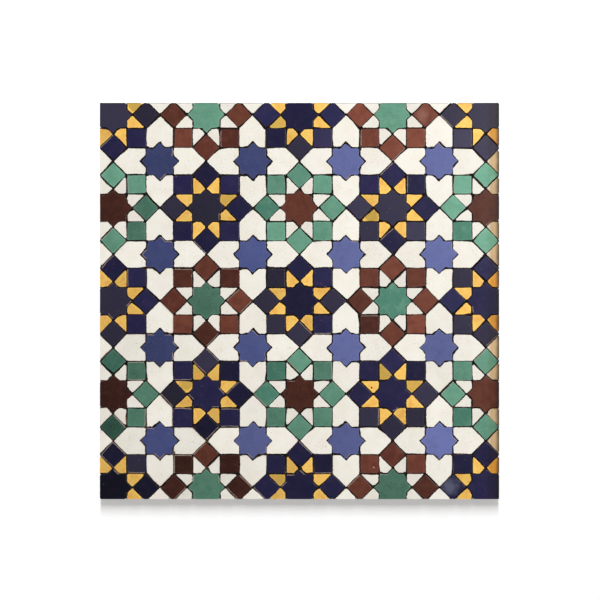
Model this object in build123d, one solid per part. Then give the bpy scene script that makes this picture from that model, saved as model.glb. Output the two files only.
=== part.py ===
from build123d import *
from math import cos, hypot, pi, sin, sqrt
import os

# Moroccan mosaic panel: hand-cut glazed clay pieces, set in an eight-fold rosette pattern in a
# cast mortar bed. It lies on its back. X is its width, Y its height and Z its thickness, and the
# origin is the middle of the back face. Sizes are in millimetres.

# Driving dimensions
rosettes_across = 5
rosettes_up = 5
period = 140.0  # from the centre of one rosette to the centre of the next
side_trim = 0.5  # the panel's sides are cut this far inside the outermost stars' flat sides
end_trim = 2.75  # the same at the panel's top and bottom
joint_width = 1.2  # gap between the glazed faces of two neighbours
joint_depth = 1.0  # from the glazed faces down to the mortar in the joints
clay_thickness = 11.0  # fired clay with the glaze on it
mortar_thickness = 11.0  # from the backs of the clay pieces to the back of the panel
back_cut = 0.8  # a chiselled side slopes in by this much, from the glazed face to the back

# The pattern's own proportions: every corner lies at these distances from the centre of a star.
root_two = sqrt(2)
half_period = period / 2
star_flat = half_period / (2 + root_two)  # to a flat side of the star
star_tip = star_flat * root_two  # to a tip of the star
star_notch = star_tip - star_flat  # from the middle of a flat side to a notch of the star
shoulder = star_tip + star_flat  # to the widest part of the squares round the star

panel_width = (rosettes_across - 1) * period + 2 * (star_flat - side_trim)
panel_height = (rosettes_up - 1) * period + 2 * (star_flat - end_trim)
back_of_clay = mortar_thickness
glazed_face = back_of_clay + clay_thickness
joint_face = glazed_face - joint_depth

# Outlines of the four cut shapes, counter-clockwise. The star has its centre at the origin, and
# the others have the star that they stand round there, and lie along +X.
square_outline = [
    (star_tip, 0),
    (shoulder, -star_flat),
    (half_period, 0),
    (shoulder, star_flat),
]
kite_outline = [
    (star_tip, 0),
    (shoulder, star_flat),
    (star_flat, star_flat),
    (star_flat, star_notch),
]
arrow_outline = [
    (star_tip, 0),
    (star_flat, -star_notch),
    (star_flat, -star_flat),
    (shoulder, -star_flat),
    (half_period, 0),
    (shoulder, star_flat),
    (star_flat, star_flat),
    (star_flat, star_notch),
]


def turned(outline, angle, centre=(0, 0)):
    """The outline turned about the origin by an angle in radians, then moved to a centre."""
    c, s = cos(angle), sin(angle)
    return [(centre[0] + x * c - y * s, centre[1] + x * s + y * c) for x, y in outline]


# A star is one point of it, from a tip to the notch after it, turned eight times.
star_point = [(star_tip, 0), (star_flat, star_notch)]
star_outline = [xy for n in range(8) for xy in turned(star_point, n * pi / 4)]


def beyond_border(*points):
    """Whether all the points lie on or past one and the same edge of the panel."""
    half_w, half_h = panel_width / 2, panel_height / 2
    return any(
        all(sign * point[axis] >= half for point in points)
        for axis, half in ((0, half_w), (1, half_h))
        for sign in (1, -1)
    )


def inset(outline, depth):
    """The outline with each side moved inwards by depth. A side beyond the panel's edge stays,
    because the panel is cut there and the cut side has no joint of its own."""
    sides = []
    for start, end in zip(outline, outline[1:] + outline[:1]):
        length = hypot(end[0] - start[0], end[1] - start[1])
        normal = ((start[1] - end[1]) / length, (end[0] - start[0]) / length)
        moved = 0 if beyond_border(start, end) else depth
        sides.append((normal, moved))
    corners = []
    for (x, y), (n0, d0), (n1, d1) in zip(outline, sides[-1:] + sides[:-1], sides):
        cross = n0[0] * n1[1] - n0[1] * n1[0]
        corners.append(
            (x + (d0 * n1[1] - d1 * n0[1]) / cross, y + (d1 * n0[0] - d0 * n1[0]) / cross)
        )
    return corners


panel_block = Pos(0, 0, glazed_face / 2) * Box(panel_width, panel_height, glazed_face)


def sloped_prism(outline, face_depth, back_depth):
    """A solid with flat sides that slope from the glazed face to the back, each with its own inset
    of the outline."""
    face = [(x, y, glazed_face) for x, y in inset(outline, face_depth)]
    back = [(x, y, back_of_clay) for x, y in inset(outline, back_depth)]
    ring = zip(back, back[1:] + back[:1], face[1:] + face[:1], face)
    flats = [Face(Wire.make_polygon(corners)) for corners in (face, back, *ring)]
    return Solid(Shell(flats))


def cut_pieces(outline):
    """The clay piece for an outline of the pattern: its glazed face is half a joint inside the
    outline, its sides slope in to the back, and the panel's edge cuts it off square. It is a list,
    empty for a piece outside the panel."""
    if beyond_border(*outline):
        return []
    piece = sloped_prism(outline, joint_width / 2, joint_width / 2 + back_cut)
    half_w, half_h = panel_width / 2, panel_height / 2
    if all(abs(x) <= half_w and abs(y) <= half_h for x, y in outline):
        return [piece]
    return list((piece & panel_block).solids())


nodes = {}


def add_pieces(name, pieces):
    """Puts pieces in the node of this name, which is made for the first of them."""
    if pieces:
        nodes.setdefault(name, []).extend(pieces)


def set_star(colour, centre):
    """A star is a node of its own. The stars of a colour are numbered in reading order."""
    number = 1 + sum(name.startswith(colour + "_star") for name in nodes)
    add_pieces(f"{colour}_star_{number}", cut_pieces(turned(star_outline, 0, centre)))


def set_round(name, outline, centre, copies):
    """Copies of an outline in a ring round a centre, all of them in one node."""
    for n in range(copies):
        add_pieces(name, cut_pieces(turned(outline, n * 2 * pi / copies, centre)))


def place(column, row):
    """Where a point of the rosettes' grid lies. Whole numbers, from 0, are rosette centres."""
    x = (column - (rosettes_across - 1) / 2) * period
    y = (row - (rosettes_up - 1) / 2) * period
    return (x, y)


def set_rosette(column, row):
    """A star, the eight squares that point at it and the eight kites between them. The colours
    change from one rosette to the next, as on a chessboard, and again from row to row."""
    if (column + row) % 2 == 0:
        star, square, kite = "navy", "navy", "yellow"
    elif row % 2 == 0:
        star, square, kite = "green", "brown", "white"
    else:
        star, square, kite = "brown", "green", "white"
    centre = place(column, row)
    set_star(star, centre)
    set_round(square + "_squares", square_outline, centre, 8)
    set_round(kite + "_kites", kite_outline, centre, 8)


def set_cobalt_star(column, row):
    """A star in the middle of four rosettes, and the white arrows that start at four of its flat
    sides. Past the panel's edge only the head of an arrow is left, as a triangle."""
    centre = place(column + 0.5, row + 0.5)
    set_star("cobalt", centre)
    inside = 0 <= column < rosettes_across - 1 and 0 <= row < rosettes_up - 1
    arrows = "white_arrows" if inside else "white_edge_triangles"
    set_round(arrows, arrow_outline, centre, 4)


for row in reversed(range(rosettes_up)):
    for column in range(rosettes_across):
        set_rosette(column, row)
for row in reversed(range(-1, rosettes_up)):
    for column in range(-1, rosettes_across):
        set_cobalt_star(column, row)

# The mortar is cast round the backs and sides of all the clay, so each piece has its own pocket.
mortar = Pos(0, 0, joint_face / 2) * Box(panel_width, panel_height, joint_face)
mortar_bed = mortar.cut(*[piece for pieces in nodes.values() for piece in pieces])

os.makedirs("parts", exist_ok=True)
export_step(mortar_bed, "parts/mortar_bed.step", write_pcurves=False)
for name, pieces in nodes.items():
    node = pieces[0] if len(pieces) == 1 else Compound(pieces)
    export_step(node, f"parts/{name}.step", write_pcurves=False)
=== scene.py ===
from math import pi, radians, sqrt

import bmesh
import bpy
import numpy as np
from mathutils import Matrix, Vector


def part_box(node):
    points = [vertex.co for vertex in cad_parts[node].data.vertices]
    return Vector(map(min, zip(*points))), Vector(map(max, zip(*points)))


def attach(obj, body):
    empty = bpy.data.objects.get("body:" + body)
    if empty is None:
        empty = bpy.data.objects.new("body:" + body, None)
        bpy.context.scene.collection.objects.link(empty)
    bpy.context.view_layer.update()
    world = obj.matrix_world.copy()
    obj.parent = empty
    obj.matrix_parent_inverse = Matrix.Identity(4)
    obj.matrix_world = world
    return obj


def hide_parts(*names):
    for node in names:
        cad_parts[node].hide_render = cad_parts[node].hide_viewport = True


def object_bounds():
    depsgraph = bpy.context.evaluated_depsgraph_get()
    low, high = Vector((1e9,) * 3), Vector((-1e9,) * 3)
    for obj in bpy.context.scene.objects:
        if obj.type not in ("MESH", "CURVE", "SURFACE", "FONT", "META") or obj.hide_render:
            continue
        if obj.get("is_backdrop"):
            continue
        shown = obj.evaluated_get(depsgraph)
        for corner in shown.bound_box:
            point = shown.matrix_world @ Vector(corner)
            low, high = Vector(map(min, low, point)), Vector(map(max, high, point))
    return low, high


mm = 0.001
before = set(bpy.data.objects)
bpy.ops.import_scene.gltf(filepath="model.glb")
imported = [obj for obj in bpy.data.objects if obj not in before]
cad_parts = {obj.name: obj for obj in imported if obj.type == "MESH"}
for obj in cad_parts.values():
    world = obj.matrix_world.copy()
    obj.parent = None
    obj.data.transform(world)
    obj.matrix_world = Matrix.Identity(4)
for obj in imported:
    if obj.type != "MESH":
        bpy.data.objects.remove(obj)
cadLow, cadHigh = (np.array(corner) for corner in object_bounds())
rng = np.random.default_rng(1912)


# The pattern's sizes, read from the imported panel

def boxOf(node):
    low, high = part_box(node)
    return np.array(low), np.array(high)


starLow, starHigh = boxOf("cobalt_star_1")
nextLow, nextHigh = boxOf("cobalt_star_2")
period = (nextLow + nextHigh - starLow - starHigh)[0] / 2  # between two cobalt stars of a row
starFlat = period / 2 / (2 + sqrt(2))  # from a star's middle to a flat side
starTip = starFlat * sqrt(2)
starNotch = starTip - starFlat
shoulder = starTip + starFlat
joint = (2 * starTip - (starHigh - starLow)[0]) / sqrt(2)  # between two glazed faces
clayBack, glazedFace = starLow[2], starHigh[2]
jointFace = boxOf("mortar_bed")[1][2]
panel = {
    "rosettes": 5,  # across and up
    "backCut": 0.8 * mm,  # a chiselled side slopes in by this much
    "leastWidth": 4 * mm,  # narrower slivers at the panel's edge are left out
    "sameEdge": 0.001 * mm,
}

# The photograph shows the panel this many pixels wide, with its middle at this pixel.
photo = {
    "pixels": 600, "panelWidth": 399.3, "panelMiddle": (299.5, 301.0), "lens": 100, "sensor": 36,
}
pixel = (cadHigh - cadLow)[0] / photo["panelWidth"]


def turned(outline, angle, centre=(0, 0)):
    # A point x, y goes to x cos - y sin, x sin + y cos, from the centre on.
    c, s = np.cos(angle), np.sin(angle)
    return outline @ np.array([(c, s), (-s, c)]) + centre


# The cut shapes, counter-clockwise. A star has its middle at the origin, and the others have the
# star that they stand round there, and lie along X.
starPoint = np.array([(starTip, 0), (starFlat, starNotch)])
starShape = np.vstack([turned(starPoint, k * pi / 4) for k in range(8)])
squareShape = np.array([(starTip, 0), (shoulder, -starFlat), (period / 2, 0), (shoulder, starFlat)])
kiteShape = np.array([(starTip, 0), (shoulder, starFlat), (starFlat, starFlat), (starFlat, starNotch)])
arrowHalf = np.array([(starFlat, starNotch), (starFlat, starFlat), (shoulder, starFlat)])
arrowShape = np.vstack([
    [(starTip, 0)], arrowHalf * (1, -1), [(period / 2, 0)], arrowHalf[::-1],
])
arrowMiddle = np.array([(1.95 * starFlat, 0)])  # a point that sees every corner of the arrow


def sidesOf(outline):
    # Each side as a step, from its own corner to the next.
    return np.roll(outline, -1, 0) - outline


def crossed(first, second):
    # The cross product x1 y2 - y1 x2, above 0 where the second step turns left.
    return first[..., 0] * second[..., 1] - first[..., 1] * second[..., 0]


def inwardsOf(along):
    # The unit vector to the left of each side, which points into the outline.
    return np.stack([-along[:, 1], along[:, 0]], 1) / np.hypot(*along.T)[:, None]


def clipped(outline):
    # At each edge of the panel: corners past it go, and a side that crosses it gets a corner there.
    for axis, sign in ((0, 1), (0, -1), (1, 1), (1, -1)):
        edge = max(sign * cadLow[axis], sign * cadHigh[axis])
        past = sign * outline[:, axis] - edge
        follow, pastFollow = np.roll(outline, -1, 0), np.roll(past, -1)
        crosses = (past > 0) != (pastFollow > 0)
        share = past / np.where(crosses, past - pastFollow, 1)
        cuts = outline + (follow - outline) * share[:, None]
        keep = np.stack([past <= 0, crosses], 1).ravel()
        outline = np.stack([outline, cuts], 1).reshape(-1, 2)[keep]
    return outline


def onBorder(outline):
    # True for each side that runs along an edge of the panel.
    flags = np.zeros(len(outline), bool)
    for axis in (0, 1):
        for edge in (cadLow[axis], cadHigh[axis]):
            there = abs(outline[:, axis] - edge) < panel["sameEdge"]
            flags |= there & np.roll(there, -1)
    return flags


def inset(outline, depths):
    # Each side moves inwards by its own depth; a corner is where its two moved sides cross.
    normal = inwardsOf(sidesOf(outline))
    before, depthBefore = np.roll(normal, 1, 0), np.roll(depths, 1)
    shiftX = depthBefore * normal[:, 1] - depths * before[:, 1]
    shiftY = depths * before[:, 0] - depthBefore * normal[:, 0]
    return outline + np.stack([shiftX, shiftY], 1) / crossed(before, normal)[:, None]


def shortSides(outline):
    # True for a side along the panel's edge where it takes less off a tip than a joint is wide.
    return onBorder(outline) & (np.hypot(*sidesOf(outline).T) < 2 * joint)


def keepTips(outline):
    # The clay has a whole tip there: its two sides go on until they meet.
    for side in np.flatnonzero(shortSides(outline))[::-1]:
        along = sidesOf(outline)
        after = (side + 1) % len(outline)
        before, beyond = along[side - 1], along[after]
        share = crossed(along[side], beyond) / crossed(before, beyond)
        outline[after] = outline[side] + before * share
        outline = np.delete(outline, side, 0)
    return outline


# Every place in the pattern: its node, its outlines and a middle that sees all corners

cells = []


def addCell(node, shape, angle, centre, middle=None):
    full = turned(shape, angle, centre)
    outline = clipped(full)
    if len(outline) < 3 or np.ptp(outline, 0).min() < panel["leastWidth"]:
        return False
    # A middle that is given holds for a whole piece, and for a star also where the edge cuts it.
    whole = len(outline) == len(full) and np.allclose(outline, full)
    if middle is not None and (whole or shape is starShape):
        spot = turned(middle, angle, centre)[0]
    else:
        spot = outline.mean(0)
    tips = keepTips(outline.copy())
    cells.append({
        "node": node, "outline": outline, "middle": spot, "free": ~onBorder(outline),
        "clayOutline": tips, "clayFree": ~onBorder(tips),
    })
    return True


starCount = {}


def addStar(colour, centre):
    name = f"{colour}_star_{starCount.get(colour, 0) + 1}"
    if addCell(name, starShape, 0, centre, np.zeros((1, 2))):
        starCount[colour] = starCount.get(colour, 0) + 1


def gridPlace(column, row):
    half = (panel["rosettes"] - 1) / 2
    return np.array([(column - half) * period, (row - half) * period])


def setRosettes():
    # A star, eight squares and eight kites each. The colours change from one to the next, as on a
    # chessboard, and again from row to row.
    for row in reversed(range(panel["rosettes"])):
        for column in range(panel["rosettes"]):
            if (column + row) % 2 == 0:
                star, square, kite = "navy", "navy", "yellow"
            elif row % 2 == 0:
                star, square, kite = "green", "brown", "white"
            else:
                star, square, kite = "brown", "green", "white"
            centre = gridPlace(column, row)
            addStar(star, centre)
            for k in range(8):
                addCell(square + "_squares", squareShape, k * pi / 4, centre)
                addCell(kite + "_kites", kiteShape, k * pi / 4, centre)


def setCobaltStars():
    # One in the middle of four rosettes, with four arrows round it. Past the panel's edge only the
    # heads of the arrows are left, as triangles.
    last = panel["rosettes"] - 1
    for row in reversed(range(-1, panel["rosettes"])):
        for column in range(-1, panel["rosettes"]):
            centre = gridPlace(column + 0.5, row + 0.5)
            addStar("cobalt", centre)
            inside = 0 <= column < last and 0 <= row < last
            node = "white_arrows" if inside else "white_edge_triangles"
            for k in range(4):
                addCell(node, arrowShape, k * pi / 2, centre, arrowMiddle)


setRosettes()
setCobaltStars()
print("pattern:", len(cells), "pieces, period", round(period / mm, 2), "mm")


# Clay pieces, as hand-chiselled solids

clay = {
    "wobble": 0.2 * mm,  # of the chiselled outline
    "bow": 0.24 * mm,  # of the middle of a side
    "overcut": 0.3 * mm,  # how much the joint's width differs from side to side
    "leastGap": 0.12 * mm,  # from a piece to the middle of a joint
    "shift": 0.26 * mm,  # each piece lies a little off its place
    "spin": radians(0.7),
    "heldAtEdge": 0.15,  # the share of shift and spin of a piece at the panel's edge
    "tilt": radians(0.25),
    "sink": 0.12 * mm,
    "blunt": 1.2 * mm,  # how far from a corner its two end points lie
    "bluntLeast": 0.5,
    "bluntMost": 1.8,
    "bluntShare": 0.25,  # of a side at most, at each of its ends
    "chipShare": 0.1,  # of the corners have lost a flake
    "chipDepth": 1.5 * mm,
    "chipLeast": 0.4,  # the shallowest flake, as a share of that
    "bareShare": 0.035,  # of the sides have a line of bare clay along the glaze
    "bareLowLeft": 0.2,  # more of them do in the panel's lower left
    "glazeDepth": 0.8 * mm,
    "arrisIn": 0.12 * mm,  # the rounded edge of the glaze
    "arrisDown": 0.1 * mm,
    "crownIn": 0.6 * mm,  # from there on the glaze is flat
    "dome": 0.05 * mm,
    "tiltedPart": 1.5 * mm,  # what lies deeper than this isn't tilted
}
up = np.array([0, 0, 1])


def sideWalk(corners, shares):
    # Points at the given shares of every side, in order round the outline.
    return (corners[:, None] + sidesOf(corners)[:, None] * shares[..., None]).reshape(-1, 2)


def bandFaces(count):
    # Quads from a ring of this many points to the ring after it.
    start = np.arange(count)
    after = (start + 1) % count
    return np.stack([start, after, after + count, start + count], 1)


def fanFaces(count, rings):
    # Triangles from the last ring to the one point after it.
    start = np.arange(count)
    after = (start + 1) % count
    last = (rings - 1) * count
    return np.stack([start + last, after + last, np.full(count, rings * count)], 1)


def chiselled(outline, free):
    # Three points a side: where its two blunted corners end, and its middle. It gives their shares
    # of the side, and how far each lies inwards: a random wobble, with the bow and the flakes.
    sides = len(outline)
    along = sidesOf(outline)
    length = np.hypot(*along.T)
    # A corner's angle in right angles, from the cross and dot products of its sides: a sharp tip
    # is blunted most and has the smallest flakes.
    before = np.roll(along, 1, 0)
    angle = 2 - np.arctan2(crossed(before, along), (before * along).sum(1)) / (pi / 2)
    flaked = rng.random((sides, 2)) < clay["chipShare"]
    flake = flaked * rng.uniform(clay["chipLeast"], 1, (sides, 2))
    flake *= np.stack([angle, np.roll(angle, -1)], 1).clip(0, 1) ** 2 * clay["chipDepth"]
    blunt = clay["blunt"] * (1 / angle).clip(0.5, 2)
    blunt *= rng.uniform(clay["bluntLeast"], clay["bluntMost"], sides)
    # The deeper a flake, the further from the corner its end point, or the crown would fold.
    deepest = np.maximum(flake[:, 0], np.roll(flake[:, 1], 1))
    blunt = np.maximum(blunt, (1.4 * deepest + 0.3 * mm) * (deepest > 0))
    starts = np.minimum(blunt / length, clay["bluntShare"])
    ends = 1 - np.minimum(np.roll(blunt, -1) / length, clay["bluntShare"])
    wobble = rng.normal(0, clay["wobble"], (sides, 3))
    wobble[:, 1] += rng.normal(0, clay["bow"], sides)
    wobble[:, ::2] += flake
    wobble = np.maximum(wobble, -joint / 3) * free[:, None]
    return np.stack([starts, np.full(sides, 0.5), ends], 1), wobble


def clayPiece(cell):
    # Four rings of points, from the back to the glazed face, and one point in the middle. A ring is
    # the outline, inset by its depth, with three points a side. The ring at the back is straight,
    # and the three above it share one random wobble and the piece's tilt.
    outline, free = cell["clayOutline"], cell["clayFree"]
    sides = len(outline)
    count = 3 * sides
    inwards = inwardsOf(sidesOf(outline))
    shares, wobble = chiselled(outline, free)
    push = (inwards[:, None] * wobble[..., None]).reshape(-1, 2)
    outwards = np.column_stack([-np.repeat(inwards, 3, 0), np.zeros(count)])
    rings, edges, normals = [], [], []
    gap = joint / 2 + rng.normal(0, clay["overcut"], sides).clip(-joint / 4)
    profile = (
        (panel["backCut"], clayBack - glazedFace, 0, -3, 0),
        (0, -clay["glazeDepth"], 1, 0, 0),
        (clay["arrisIn"], -clay["arrisDown"], 1, 0.25, 0.75),
        (clay["crownIn"], 0, 1, 0.8, 1),
    )
    for depth, height, moved, edge, lean in profile:
        ring = sideWalk(inset(outline, free * (gap + depth)), shares) + push * moved
        rings.append(np.column_stack([ring, np.full(len(ring), height)]))
        edges.append(np.full(len(ring), edge))
        normals.append(outwards * (1 - lean) + up * lean)
    reach = np.hypot(*(rings[-1][:, :2] - cell["middle"]).T).min()
    rings.append(np.array([[*cell["middle"], rng.uniform(-0.3, 1) * clay["dome"]]]))
    edges.append(np.array([0.8 + reach / mm]))
    normals.append(up[None])
    points, edge, normal = np.vstack(rings), np.concatenate(edges), np.vstack(normals)
    lowLeft = np.clip(-cell["middle"].sum() / cadHigh[0], 0, 1)
    bareSide = rng.random(sides) < clay["bareShare"] + clay["bareLowLeft"] * lowLeft
    bare = np.append(np.tile(np.repeat(bareSide, 3) * rng.uniform(0.5, 1, count), len(profile)), 0)
    # Lay the piece: shift, spin and tilt, then lower it until nothing is above the glazed face.
    loose = 1 if free.all() else clay["heldAtEdge"]
    flat = turned(points[:, :2] - cell["middle"], rng.normal(0, clay["spin"]) * loose)
    slope = rng.normal(0, clay["tilt"], 2)
    upper = points[:, 2] > -clay["tiltedPart"]
    rise = np.where(upper, flat @ slope, 0)
    height = points[:, 2] + rise - (points[:, 2] + rise)[upper].max()
    height -= rng.uniform(0, clay["sink"])
    height[:count] = clayBack - glazedFace
    normal[:, :2] -= slope * normal[:, 2:]
    flat += cell["middle"] + rng.normal(0, clay["shift"], 2) * loose
    # Then push it back where it comes too near to a neighbour: a point's depth is its distance
    # from the side of the outline that it belongs to.
    side = np.tile(np.repeat(np.arange(sides), 3), len(profile))
    depth = ((flat[:-1] - outline[side]) * inwards[side]).sum(1)
    least = np.repeat([row[0] for row in profile], count) + clay["leastGap"]
    flat[:-1] += inwards[side] * ((least - depth).clip(0) * free[side])[:, None]
    points = np.column_stack([flat, height + glazedFace])
    points[:, :2] = np.clip(points[:, :2], cadLow[:2], cadHigh[:2])
    bands = np.vstack([bandFaces(count) + k * count for k in range(len(profile) - 1)])
    crown = fanFaces(count, len(profile))
    back = np.arange(count)[::-1]
    faces = [*bands.tolist(), *crown.tolist(), back.tolist()]
    cornerNormals = normal[np.concatenate([bands.ravel(), crown.ravel(), back])]
    cornerNormals[-count:] = -up
    return points, faces, {"edge": edge, "bare": bare}, cornerNormals


def newPiece(name, points, faces, smooth=True):
    mesh = bpy.data.meshes.new(name)
    mesh.from_pydata(points.tolist(), [], faces)
    mesh.polygons.foreach_set("use_smooth", [smooth] * len(faces))
    mesh.update()
    piece = bpy.data.objects.new(name, mesh)
    bpy.context.scene.collection.objects.link(piece)
    return piece


def addValues(piece, name, values):
    layer = piece.data.attributes.new(name, "FLOAT", "POINT")
    layer.data.foreach_set("value", np.asarray(values, np.float32))


# What these kinds of pieces add to their random shade, from 0 to 1: they are darker than the rest.
shadeAdded = {"brown_star": -0.62, "green_star": -0.4, "navy_star": -0.06, "white_kite": -0.9}


def makeClay(node):
    # All pieces of a node in one mesh. Each carries its own shade and tone, and how far to the
    # right it lies, and each point its distance from the side in millimetres, as edge.
    points, faces, normals = [], [], []
    values = {"edge": [], "bare": [], "shade": [], "tone": [], "across": []}
    start = 0
    added = sum(amount for kind, amount in shadeAdded.items() if node.startswith(kind))
    for cell in (cell for cell in cells if cell["node"] == node):
        piecePoints, pieceFaces, pieceValues, cornerNormals = clayPiece(cell)
        points.append(piecePoints)
        faces += [[corner + start for corner in face] for face in pieceFaces]
        normals.append(cornerNormals)
        same = {"shade": rng.random() + added, "tone": rng.random(), "across": cell["middle"][0]}
        pieceValues |= {name: np.full(len(piecePoints), value) for name, value in same.items()}
        for name, parts in values.items():
            parts.append(pieceValues[name])
        start += len(piecePoints)
    piece = newPiece("glazed_" + node, np.vstack(points), faces)
    piece.data.normals_split_custom_set(np.vstack(normals).tolist())
    for name, parts in values.items():
        addValues(piece, name, np.concatenate(parts))
    return piece


# The mortar bed

bed = {
    "segment": 6 * mm,  # about how far apart the points along a joint are
    "hollow": 0.12 * mm,  # the middle of a joint is lower
    "rough": 0.16 * mm,
    "roughSize": 7 * mm,
    "levels": (0.9, 0.62, 0.3, 0),  # rows of points down the edge, as shares of the mortar
    "edgeRough": 0.5 * mm,
    "edgeRoughSize": 9 * mm,
    "sharpFrom": radians(35),
    "waves": 14,
}
waveTurn = rng.uniform(0, 2 * pi, bed["waves"])
waveLength = rng.uniform(0.5, 2.2, bed["waves"])
wavePhase = rng.uniform(0, 2 * pi, bed["waves"])


def uneven(points, size):
    # The mean of sine waves in random directions, scaled so that it mostly stays from -1 to 1.
    direction = np.stack([np.cos(waveTurn), np.sin(waveTurn), 0.7 * np.sin(3 * waveTurn)])
    waves = np.sin(points @ direction * (2 * pi / size / waveLength) + wavePhase)
    return waves.mean(1) * 1.8


def bedTray(cell):
    # Half of each joint round a piece, the pocket's sloping walls and its floor. Where the clay
    # has a whole tip, both ends of the short side along the panel's edge go to that tip.
    outline, short = cell["outline"], shortSides(cell["outline"])
    free = cell["free"] | short
    order = np.cumsum(~short) - 1
    order = np.where(short, np.roll(order, -1), order)
    length = np.hypot(*sidesOf(outline).T)
    parts = np.maximum(1, np.rint(length / bed["segment"])).astype(int)
    side = np.repeat(np.arange(len(outline)), parts)
    count = len(side)
    share = (np.arange(count) - np.repeat(np.cumsum(parts) - parts, parts)) / parts[side]
    rings = []
    profile = (
        (0, jointFace - bed["hollow"]),
        (joint / 2, jointFace),
        (joint / 2 + panel["backCut"], clayBack),
    )
    for depth, height in profile:
        corners = outline
        if depth:
            corners = inset(cell["clayOutline"], cell["clayFree"] * depth)[order]
        ring = corners[side] + sidesOf(corners)[side] * share[:, None]
        ring = np.column_stack([ring, np.full(count, height)])
        if height > clayBack:
            ring[:, 2] -= bed["rough"] * (1 + uneven(ring, bed["roughSize"]))
        rings.append(ring)
    rings.append(np.array([[*cell["middle"], clayBack]]))
    walls = bandFaces(count)[free[side]]
    floor = fanFaces(count, len(profile))
    return np.vstack(rings), [*walls.tolist(), *(walls + count).tolist(), *floor.tolist()]


def makeBed():
    # All trays, merged. Their open rim goes down the panel's edge in rows, the last row is filled,
    # and the rows between are pushed in unevenly.
    points, faces, start = [], [], 0
    for cell in cells:
        trayPoints, trayFaces = bedTray(cell)
        points.append(trayPoints)
        faces += [[corner + start for corner in face] for face in trayFaces]
        start += len(trayPoints)
    piece = newPiece("rough_mortar_bed", np.vstack(points), faces)
    work = bmesh.new()
    work.from_mesh(piece.data)
    bmesh.ops.remove_doubles(work, verts=work.verts, dist=0.01 * mm)
    rim = [edge for edge in work.edges if edge.is_boundary]
    for level in bed["levels"]:
        made = bmesh.ops.extrude_edge_only(work, edges=rim)["geom"]
        for vertex in (part for part in made if isinstance(part, bmesh.types.BMVert)):
            vertex.co.z = level * clayBack
        rim = [part for part in made if isinstance(part, bmesh.types.BMEdge)]
    bmesh.ops.edgeloop_fill(work, edges=rim)
    bmesh.ops.recalc_face_normals(work, faces=work.faces)
    work.to_mesh(piece.data)
    work.free()
    places = np.empty(len(piece.data.vertices) * 3)
    piece.data.vertices.foreach_get("co", places)
    places = places.reshape(-1, 3)
    depth = bed["edgeRough"] * np.clip(0.5 + uneven(places, bed["edgeRoughSize"]), 0, 1)
    depth *= (places[:, 2] > 0) & (places[:, 2] < clayBack - 0.1 * mm)
    limit = cadHigh[:2] - depth[:, None]
    places[:, :2] = np.clip(places[:, :2], -limit, limit)
    piece.data.vertices.foreach_set("co", places.ravel())
    piece.data.polygons.foreach_set("use_smooth", [True] * len(piece.data.polygons))
    piece.data.set_sharp_from_angle(angle=bed["sharpFrom"])
    piece.data.update()
    return piece


# Materials

class Signal:
    # One socket of a material. Sums, products and comparisons of signals add their Math nodes.
    def __init__(self, finish, socket):
        self.finish, self.socket = finish, socket

    def math(self, operation, *values):
        inputs = dict(enumerate(values))
        return self.finish.add("ShaderNodeMath", {"operation": operation}, inputs)

    def __add__(self, other):
        return self.math("ADD", self, other)

    def __radd__(self, other):
        return self.math("ADD", other, self)

    def __sub__(self, other):
        return self.math("SUBTRACT", self, other)

    def __rsub__(self, other):
        return self.math("SUBTRACT", other, self)

    def __mul__(self, other):
        return self.math("MULTIPLY", self, other)

    def __rmul__(self, other):
        return self.math("MULTIPLY", other, self)

    def step(self, low, high):
        # A smooth rise from 0 at low to 1 at high, or a fall where low is above high.
        settings = {"interpolation_type": "SMOOTHSTEP"}
        if low > high:
            return 1 - self.step(high, low)
        return self.finish.add("ShaderNodeMapRange", settings, {0: self, 1: low, 2: high})


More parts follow.
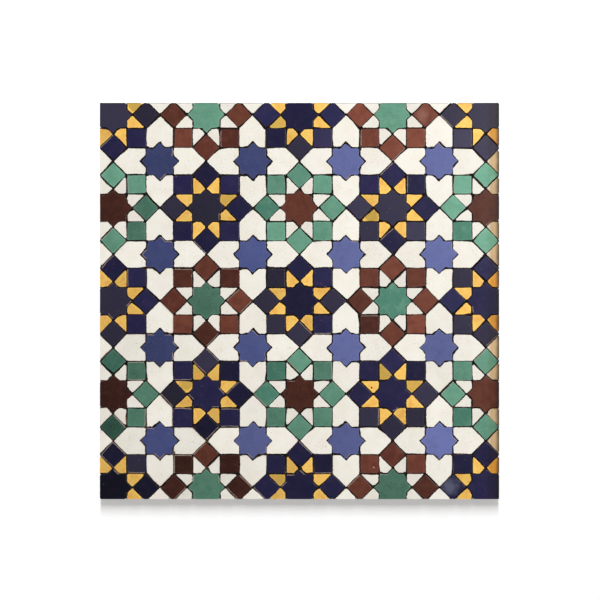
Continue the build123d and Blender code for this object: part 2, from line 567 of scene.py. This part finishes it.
class Finish:
    # One material and its nodes.
    def __init__(self, name):
        self.material = bpy.data.materials.new(name)
        self.material.use_nodes = True
        self.tree = self.material.node_tree
        self.shader = self.tree.nodes["Principled BSDF"]
        self.place = self.add("ShaderNodeTexCoord", output="Object")
        self.x, self.y, self.z = (
            self.add("ShaderNodeSeparateXYZ", values={0: self.place}, output=axis) for axis in "XYZ"
        )

    def add(self, kind, settings=None, values=None, output=0):
        node = self.tree.nodes.new(kind)
        for name, value in (settings or {}).items():
            if name == "stops":
                self.setStops(node.color_ramp, value)
            else:
                setattr(node, name, value)
        for name, value in (values or {}).items():
            self.feed(node.inputs[name], value)
        return Signal(self, node.outputs[output])

    def setStops(self, ramp, stops):
        while len(ramp.elements) < len(stops):
            ramp.elements.new(1)
        for element, (position, colour) in zip(ramp.elements, stops):
            element.position, element.color = position, colour

    def feed(self, socket, value):
        if isinstance(value, Signal):
            self.tree.links.new(value.socket, socket)
        elif hasattr(socket.default_value, "__len__") and len(socket.default_value) == 4:
            socket.default_value = (*value, 1) if len(value) == 3 else value
        else:
            socket.default_value = value

    def mix(self, share, first, second, blend="MIX"):
        settings = {"data_type": "RGBA", "blend_type": blend}
        return self.add("ShaderNodeMix", settings, {0: share, 6: first, 7: second}, 2)

    def dim(self, colour, factor):
        settings = {"operation": "SCALE"}
        return self.add("ShaderNodeVectorMath", settings, {0: colour, "Scale": factor})

    def noise(self, size, detail=2, seed=0.0, roughness=0.5):
        # Blotches of about this size, from 0 to 1. A seed that is a signal changes with the piece.
        values = {"Vector": self.place, "W": seed, "Scale": 1 / size, "Detail": detail}
        values["Roughness"] = roughness
        return self.add("ShaderNodeTexNoise", {"noise_dimensions": "4D"}, values)

    def cells(self, size, feature="F1", output="Distance"):
        values = {"Vector": self.place, "Scale": 1 / size}
        return self.add("ShaderNodeTexVoronoi", {"feature": feature}, values, output)

    def value(self, name):
        return self.add("ShaderNodeAttribute", {"attribute_name": name}, output="Fac")

    def finishWith(self, colour, roughness, height, distance):
        bump = self.add("ShaderNodeBump", None, {"Height": height, "Distance": distance})
        self.feed(self.shader.inputs["Base Color"], colour)
        self.feed(self.shader.inputs["Roughness"], roughness)
        self.feed(self.shader.inputs["Normal"], bump)
        return self.material


def fromScreen(red, green, blue):
    # A colour as a picture shows it, 0 to 255, in the linear light that materials use.
    part = np.array([red, green, blue]) / 255
    return tuple(np.where(part > 0.04045, ((part + 0.055) / 1.055) ** 2.4, part / 12.92).tolist())


# Colours of bare clay, and the painted shade along the panel's right edge
edgeShadeAndWear = {
    "edgeShade": (0.68, 0.49, 0.29),  # painted shade along the panel's right edge, which browns the glaze
    "filmStart": 278.5 * mm,
    "edgeShadeFull": 289 * mm,
    # Between these two the painted shade darkens to near black at the edge
    "darkStart": 292 * mm,
    "darkEnd": 301.5 * mm,
    "ragged": 3.5 * mm,  # how far these waver
    "topLine": 1.6 * mm,  # the dark line along the panel's top edge
    "topShare": 1.2,
    "reachDown": 4 * mm,  # how far it all reaches down the panel's sides
    "clayColour": fromScreen(176, 126, 88),
    "paleClay": fromScreen(205, 170, 130),
    "arris": fromScreen(172, 150, 138),  # bare clay along a side
    # Dark grime on rims and the top line, and the near-black end of the painted shade at the right edge
    "grimeAndShade": fromScreen(26, 19, 21),
}


def edgeShadeAndTopLine(finish, colour, share=1.0):
    # Painted shade along the right edge: its brown colour multiplies the glaze from its start on, and
    # it darkens towards the edge. A dark line lies along the top edge; both reach a little way down the
    # panel's sides.
    ragged = finish.x + (finish.noise(12 * mm, 3) - 0.5) * edgeShadeAndWear["ragged"]
    reachDown = finish.z + (finish.noise(9 * mm, 3) - 0.5) * edgeShadeAndWear["reachDown"]
    reachDown = reachDown.step(glazedFace - edgeShadeAndWear["reachDown"], glazedFace - clay["glazeDepth"])
    edgeShade = ragged.step(edgeShadeAndWear["filmStart"], edgeShadeAndWear["edgeShadeFull"]) * reachDown * share
    colour = finish.mix(edgeShade, colour, finish.mix(1.0, colour, edgeShadeAndWear["edgeShade"], "MULTIPLY"))
    dark = ragged.step(edgeShadeAndWear["darkStart"], edgeShadeAndWear["darkEnd"]) * reachDown
    colour = finish.mix(dark, colour, edgeShadeAndWear["grimeAndShade"])
    line = finish.y.step(cadHigh[1] - edgeShadeAndWear["topLine"], cadHigh[1]) * finish.noise(20 * mm, 2) * reachDown
    return finish.mix(line * edgeShadeAndWear["topShare"], colour, edgeShadeAndWear["grimeAndShade"])


def marked(finish, colour, marks):
    # Each mark is a ragged spot, at a place on the photograph, that lets its own colour through.
    for mark in marks:
        place = (np.array(mark["at"]) - photo["panelMiddle"]) * (pixel, -pixel)
        offset = finish.add(
            "ShaderNodeVectorMath", {"operation": "SUBTRACT"}, {0: finish.place, 1: (*place, glazedFace)}
        )
        far = finish.add("ShaderNodeVectorMath", {"operation": "LENGTH"}, {0: offset}, "Value")
        far = far + (finish.noise(mark["reach"] * 0.8, 3, 0.0, 0.65) - 0.5) * (mark["reach"] * 1.6)
        spot = far.step(mark["reach"] * 1.15, mark["reach"] * mark.get("core", 0.8))
        colour = finish.mix(spot * mark["share"], colour, mark["colour"])
    return colour


def freshGlaze(finish, look, own):
    # Blotches of the second colour, whole pieces of another shade and tinted patches. The lightness is
    # a sum: by piece, in clouds over the panel, in grains, painted light rising to the right and up, and
    # near the sides.
    shade, tone, edge, across = (finish.value(part) for part in ("shade", "tone", "edge", "across"))
    blotch = finish.noise(look["blotch"], 3, own, 0.6).step(0.36, 0.66)
    colour = finish.mix(blotch * look["mottle"], look["colour"], look["second"])
    rightwards = tone + across * look["rightwards"]  # painted sheen: more pieces take the other shade towards the right
    other = rightwards.step(1 - look["otherShare"] - 0.02, 1 - look["otherShare"] + 0.02)
    colour = finish.mix(other * look["otherDepth"], colour, look["other"])
    patch = finish.noise(look["patch"], 3, own + 3, 0.6).step(0.48, 0.66)
    colour = finish.mix(patch * look["tintShare"], colour, look["tint"])
    cloud = finish.noise(look["cloudSize"], 2) - 0.5
    grain = finish.noise(look["grainSize"], 3, own, 0.7) - 0.5
    light = 1 + (shade - 0.5) * look["spread"] + cloud * look["cloud"] + grain * look["grain"]
    # Painted light: the glaze is lighter towards the right and the top of the panel.
    light = light + finish.x * look["right"] + finish.y * look["up"]
    light = light + edge.step(3, 0.9) * look["thin"]
    crackle = finish.cells(look["crackleSize"], "DISTANCE_TO_EDGE").step(0.045, 0.015)
    crackle = crackle * finish.noise(35 * mm, 3).step(0.42, 0.6)
    colour = finish.dim(colour, light - crackle * look["crackle"])
    speck = finish.noise(look["speckSize"], 2, own).step(0.66, 0.74) * look["specks"]
    return finish.mix(speck, colour, look["speck"]), crackle


def glaze(name, look):
    # The wear lies over the fresh glaze, from the first mix to the last: marks, some of them painted
    # highlights, dirty rims, bare sides, flakes, pits, then the clay below the glaze, and over it all
    # the painted shade along the right edge and the dark line along the top edge.
    finish = Finish(name)
    edge = finish.value("edge")
    own = finish.value("tone") * 50 + finish.value("shade") * 13  # each piece's place in the noise
    colour, crackle = freshGlaze(finish, look, own)
    colour = marked(finish, colour, look["marks"])
    ragged = edge - (finish.noise(2.6 * mm, 3, own, 0.65) - 0.5) * look["ragged"]
    rim = ragged.step(0.62, 0.3)
    colour = finish.mix(rim * look["rim"], colour, edgeShadeAndWear["grimeAndShade"])
    worn = (finish.value("bare") + (finish.noise(5 * mm, 3, own + 5, 0.6) - 0.5) * 0.9).step(0.35, 0.5)
    worn = worn * (edge - (finish.noise(2 * mm, 2, own) - 0.5) * 1.2).step(1.5, 1.1) * (1 - rim)
    colour = finish.mix(worn * look["bare"], colour, edgeShadeAndWear["arris"])
    wear = finish.noise(7 * mm, 3, own + 7, 0.6)
    chip = (edge - (wear - 0.68) * 14).step(0.5, 0.2)
    bare = finish.mix(finish.noise(2 * mm, 2), edgeShadeAndWear["clayColour"], edgeShadeAndWear["paleClay"])
    colour = finish.mix(chip * look["chips"], colour, bare)
    pit = finish.cells(look["pitSize"]).step(0.085, 0.06)
    pit = pit * finish.cells(look["pitSize"], output="Color").step(0.52, 0.55)
    colour = finish.mix(pit * look["pits"], colour, finish.dim(bare, 0.4))
    below = finish.z + (finish.noise(3 * mm, 2) - 0.5) * (0.5 * mm)
    glazeEnd = glazedFace - clay["glazeDepth"]
    body = below.step(glazeEnd, glazeEnd - 0.15 * mm)
    colour = finish.mix(body, colour, bare)
    # Painted shade along the right edge, and the dark line along the top edge
    colour = edgeShadeAndTopLine(finish, colour, look["edgeShade"])
    scuff = finish.noise(25 * mm, 3, own, 0.7)
    roughness = look["roughness"] + (scuff - 0.5) * 0.12 + (body + chip + worn + pit) * 0.5
    height = finish.noise(11 * mm, 2, own) + finish.noise(1.6 * mm, 2, own) * 0.12
    height = height - chip * 0.5 - pit * 2.5 - crackle * 0.12
    finish.shader.inputs["Coat Weight"].default_value = look["coat"]
    finish.shader.inputs["Coat Roughness"].default_value = look["coatRoughness"]
    return finish.finishWith(colour, roughness, height, look["waves"])


mortarLook = {
    "grey": fromScreen(128, 120, 110),  # where the bed is clean
    "pale": fromScreen(168, 158, 144),
    "pit": fromScreen(84, 76, 68),
    "jointDirtAndShade": fromScreen(24, 18, 20),  # in the joints: dirt, and painted shade
    "washed": fromScreen(110, 84, 66),
    "darkJointFrom": jointFace - 1.8 * mm,  # the height at which the joints' dirt and painted shade start
    "darkJointFull": jointFace - 0.6 * mm,
    "washedLowLeft": 0.08,  # more is washed in the panel's lower left
    "roughness": 0.92,
    "relief": 0.7 * mm,
}


def mortarFinish(name):
    finish = Finish(name)
    coarse = finish.noise(14 * mm, 4, 0.0, 0.65)
    sand = finish.noise(0.9 * mm, 3)
    # The joints darken upwards: dirt, and painted shade in the narrow gaps
    darkJoint = finish.z.step(mortarLook["darkJointFrom"], mortarLook["darkJointFull"])
    fresh = finish.mix(coarse, mortarLook["grey"], mortarLook["pale"])
    lowLeft = finish.x.step(0.1, -0.28) * finish.y.step(0.1, -0.28)
    washed = (coarse + lowLeft * mortarLook["washedLowLeft"]).step(0.58, 0.7)
    jointDirtAndShade = finish.mix(washed, mortarLook["jointDirtAndShade"], mortarLook["washed"])
    colour = finish.mix(darkJoint, fresh, jointDirtAndShade)
    colour = finish.dim(colour, 0.8 + sand * 0.4)
    pits = finish.cells(5 * mm).step(0.22, 0.1) * (1 - darkJoint)
    colour = finish.mix(pits * 0.55, colour, mortarLook["pit"])
    height = coarse * 0.6 + sand * 0.35 - pits * 0.7
    roughness = mortarLook["roughness"] - sand * 0.1
    # The mortar takes the painted shade along the right edge too
    return finish.finishWith(edgeShadeAndTopLine(finish, colour), roughness, height, mortarLook["relief"])


olive = fromScreen(182, 152, 66)
paleChip = fromScreen(206, 170, 150)
plainLook = {
    # Two colours, mottled; some pieces of another shade, more of them to the right as painted sheen; a
    # tint
    "mottle": 0.45, "blotch": 18 * mm, "otherShare": 0.0, "otherDepth": 0.0, "other": (0, 0, 0),
    "rightwards": 0.0, "tintShare": 0.4, "patch": 12 * mm,
    # How much the lightness differs, and by how much the glaze is paler near the sides
    "spread": 0.7, "cloud": 0.15, "cloudSize": 90 * mm, "grain": 0.35, "grainSize": 2.2 * mm,
    "thin": 0.12, "right": 1.0, "up": 0.5,  # the last two are painted light: lighter by this much for each metre that way
    # Wear, mostly as shares, and the share of painted shade at the right edge. Ragged is in
    # millimetres, as a piece's edge value is
    "crackle": 0.25, "crackleSize": 4 * mm, "specks": 0.2, "speckSize": 1.3 * mm,
    "speck": fromScreen(60, 50, 45), "ragged": 2.2, "rim": 0.9, "bare": 0.8, "chips": 0.6,
    "pits": 0.85, "pitSize": 7 * mm, "edgeShade": 0.5, "marks": (),
    # Gloss
    "roughness": 0.24, "coat": 0.2, "coatRoughness": 0.12, "waves": 0.07 * mm,
}
looks = {
    "white": {
        "colour": fromScreen(247, 243, 233), "second": fromScreen(239, 233, 215), "spread": 0.07,
        "cloud": 0.08, "grain": 0.06, "specks": 0.1, "mottle": 0.55, "chips": 0.0,
        "right": 0.15, "up": 0.0, "tint": fromScreen(247, 233, 227), "patch": 15 * mm, "bare": 0.3,
        "edgeShade": 1.0, "thin": 0.0, "crackle": 0.16, "pits": 0.7,
    },
    "yellow": {
        "colour": fromScreen(246, 200, 104), "second": fromScreen(230, 173, 76), "otherShare": 0.12,
        "otherDepth": 0.85, "other": fromScreen(200, 166, 78), "spread": 0.24, "grain": 0.15,
        "right": 0.5, "up": 0.2, "tint": fromScreen(236, 164, 76), "tintShare": 0.6, "edgeShade": 1.0,
        "patch": 8 * mm, "bare": 0.4,
        "marks": (
            {"at": (371.7, 387.7), "reach": 1.6 * mm, "share": 0.9, "colour": fromScreen(84, 56, 38)},
            {"at": (134, 105), "reach": 9 * mm, "share": 0.8, "colour": olive},
            {"at": (371.7, 216.7), "reach": 10 * mm, "share": 0.8, "colour": olive},
            {"at": (186.7, 383.3), "reach": 10 * mm, "share": 0.7, "colour": olive},
        ),
    },
    "navy": {
        "colour": fromScreen(34, 33, 65), "second": fromScreen(26, 21, 66), "otherShare": 0.35,
        "otherDepth": 0.8, "other": fromScreen(53, 50, 65), "specks": 0.1, "rightwards": 0.6,
        "speck": fromScreen(90, 90, 110), "spread": 0.75, "tint": fromScreen(50, 38, 74),
        "marks": (
            # A painted reflection: a pale bluish patch on the navy glaze
            {
                "at": (450, 486), "reach": 16 * mm, "share": 0.4, "core": 0.1,
                "colour": fromScreen(128, 132, 156),
            },
        ),
    },
    "cobalt": {
        "colour": fromScreen(73, 82, 130), "second": fromScreen(61, 72, 123), "otherShare": 0.45,
        "otherDepth": 0.85, "other": fromScreen(98, 105, 156), "specks": 0.1, "spread": 0.5,
        "rightwards": 1.3, "up": 0.2, "tint": fromScreen(84, 88, 132), "tintShare": 0.35,
    },
    "green": {
        "colour": fromScreen(101, 150, 127), "second": fromScreen(84, 134, 112), "mottle": 0.6,
        "blotch": 14 * mm, "otherShare": 0.18, "otherDepth": 0.6, "other": fromScreen(56, 112, 96),
        "spread": 0.6, "tint": fromScreen(114, 160, 136), "edgeShade": 0.25,
        "tintShare": 0.3,
    },
    "brown": {
        "colour": fromScreen(106, 58, 44), "second": fromScreen(88, 43, 34), "mottle": 0.6,
        "blotch": 12 * mm, "otherShare": 0.3, "otherDepth": 0.6, "other": fromScreen(70, 32, 26),
        "spread": 0.8, "right": 1.2, "up": 0.9, "tint": fromScreen(116, 68, 52), "tintShare": 0.3,
        "marks": (
            # A painted highlight: pale mottling on the brown glaze
            {
                "at": (423.6, 115.1), "reach": 12 * mm, "share": 0.6, "core": 0.1,
                "colour": fromScreen(156, 112, 96),
            },
            {"at": (193.4, 275.8), "reach": 3 * mm, "share": 0.85, "colour": paleChip},
            {"at": (406.2, 315.8), "reach": 2 * mm, "share": 0.85, "colour": paleChip},
            {"at": (373.7, 467.4), "reach": 1.2 * mm, "share": 0.7, "colour": paleChip},
        ),
    },
}


# Putting it together

def makePanel():
    finishes = {
        colour: glaze(colour + "_glaze", {**plainLook, **look}) for colour, look in looks.items()
    }
    for node in dict.fromkeys(cell["node"] for cell in cells):
        piece = makeClay(node)
        colour = node.split("_")[0]
        piece.data.materials.append(finishes[colour])
        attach(piece, "root")
        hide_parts(node)
        colour + "_glaze"
    mortar = makeBed()
    mortar.data.materials.append(mortarFinish("grimy_shaded_mortar"))
    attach(mortar, "root")
    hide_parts("mortar_bed")


makePanel()


# Floor, light and camera

studio = {
    "floor": 8.0,
    "floorDrop": 0.05 * mm,  # keeps the floor clear of the panel's back
    "opening": 0.998,  # of the panel's width and height
    "floorColour": (0.82, 0.82, 0.82),
    "floorGlow": 0.3,
    "horizon": 0.6,
    "zenith": 0.1,
    "skyFades": (0.2, 0.95),  # from the first to the second, between these heights in the sky
    "key": {"place": (0.0, 3.4, 4.1), "power": 276, "size": (0.5, 3.2), "mirrored": False},
    "veil": {"place": (1.25, 0.4, 2.3), "power": 14, "size": (0.8, 0.8), "mirrored": True},
}


def makeLamp(name, choice):
    # A lamp that isn't mirrored lights the glaze but leaves no glare on it, and a mirrored one
    # leaves only its sheen.
    lamp = bpy.data.lights.new(name, "AREA")
    lamp.shape, lamp.energy = "RECTANGLE", choice["power"]
    lamp.size, lamp.size_y = choice["size"]
    holder = bpy.data.objects.new(name, lamp)
    bpy.context.scene.collection.objects.link(holder)
    holder.location = choice["place"]
    holder.visible_glossy = choice["mirrored"]
    holder.visible_diffuse = not choice["mirrored"]
    holder.rotation_euler = (-holder.location).to_track_quat("-Z", "Y").to_euler()


def makeWorld():
    # Bright round the horizon and dim overhead, so that the flat glaze mirrors little of it. The
    # camera sees it white.
    world = bpy.data.worlds.new("studio")
    world.use_nodes = True
    tree = world.node_tree
    sky = tree.nodes.new("ShaderNodeTexCoord")
    split = tree.nodes.new("ShaderNodeSeparateXYZ")
    ramp = tree.nodes.new("ShaderNodeMapRange")
    path = tree.nodes.new("ShaderNodeLightPath")
    brighter = tree.nodes.new("ShaderNodeMath")
    brighter.operation = "MAXIMUM"
    tree.links.new(sky.outputs["Generated"], split.inputs[0])
    tree.links.new(split.outputs["Z"], ramp.inputs[0])
    fade = (*studio["skyFades"], studio["horizon"], studio["zenith"])
    for socket, value in zip(ramp.inputs[1:5], fade):
        socket.default_value = value
    tree.links.new(ramp.outputs[0], brighter.inputs[0])
    tree.links.new(path.outputs["Is Camera Ray"], brighter.inputs[1])
    tree.links.new(brighter.outputs[0], tree.nodes["Background"].inputs["Strength"])
    tree.nodes["Background"].inputs["Color"].default_value = (1, 1, 1, 1)
    bpy.context.scene.world = world


def makeStage():
    # The floor is four strips round an opening under the panel, which shows its back from below.
    square = np.array([(-1, -1), (1, -1), (1, 1), (-1, 1)])
    rings = np.vstack([square * studio["floor"] / 2, square * studio["opening"] * cadHigh[:2]])
    corners = np.column_stack([rings, np.full(8, -studio["floorDrop"])])
    strips = [[k, (k + 1) % 4, (k + 1) % 4 + 4, k + 4] for k in range(4)]
    floor = newPiece("floor", corners, strips, False)
    finish = Finish("white_floor")
    finish.feed(finish.shader.inputs["Base Color"], studio["floorColour"])
    finish.feed(finish.shader.inputs["Roughness"], 1.0)
    rays = ("Is Camera Ray", "Is Glossy Ray", "Is Transmission Ray")
    seen = [finish.add("ShaderNodeLightPath", output=ray) for ray in rays]
    glow = (seen[0] + seen[1] + seen[2]) * studio["floorGlow"]
    finish.feed(finish.shader.inputs["Emission Color"], (1, 1, 1))
    finish.feed(finish.shader.inputs["Emission Strength"], glow)
    floor.data.materials.append(finish.material)
    floor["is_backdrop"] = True
    makeWorld()
    makeLamp("key", studio["key"])
    makeLamp("veil", studio["veil"])


def makeCamera():
    # Straight above, where the frame is as wide as the photograph: width times lens over sensor.
    camera = bpy.data.cameras.new("camera")
    camera.lens, camera.sensor_width = photo["lens"], photo["sensor"]
    holder = bpy.data.objects.new("camera", camera)
    bpy.context.scene.collection.objects.link(holder)
    away = photo["pixels"] * pixel * camera.lens / camera.sensor_width
    offset = (np.array([photo["pixels"] / 2] * 2) - photo["panelMiddle"]) * (1, -1) * pixel
    holder.location = (*offset, glazedFace + away)
    bpy.context.scene.camera = holder


makeStage()
makeCamera()
bpy.context.scene.view_settings.view_transform = "Standard"
print("stage, light and camera: made")
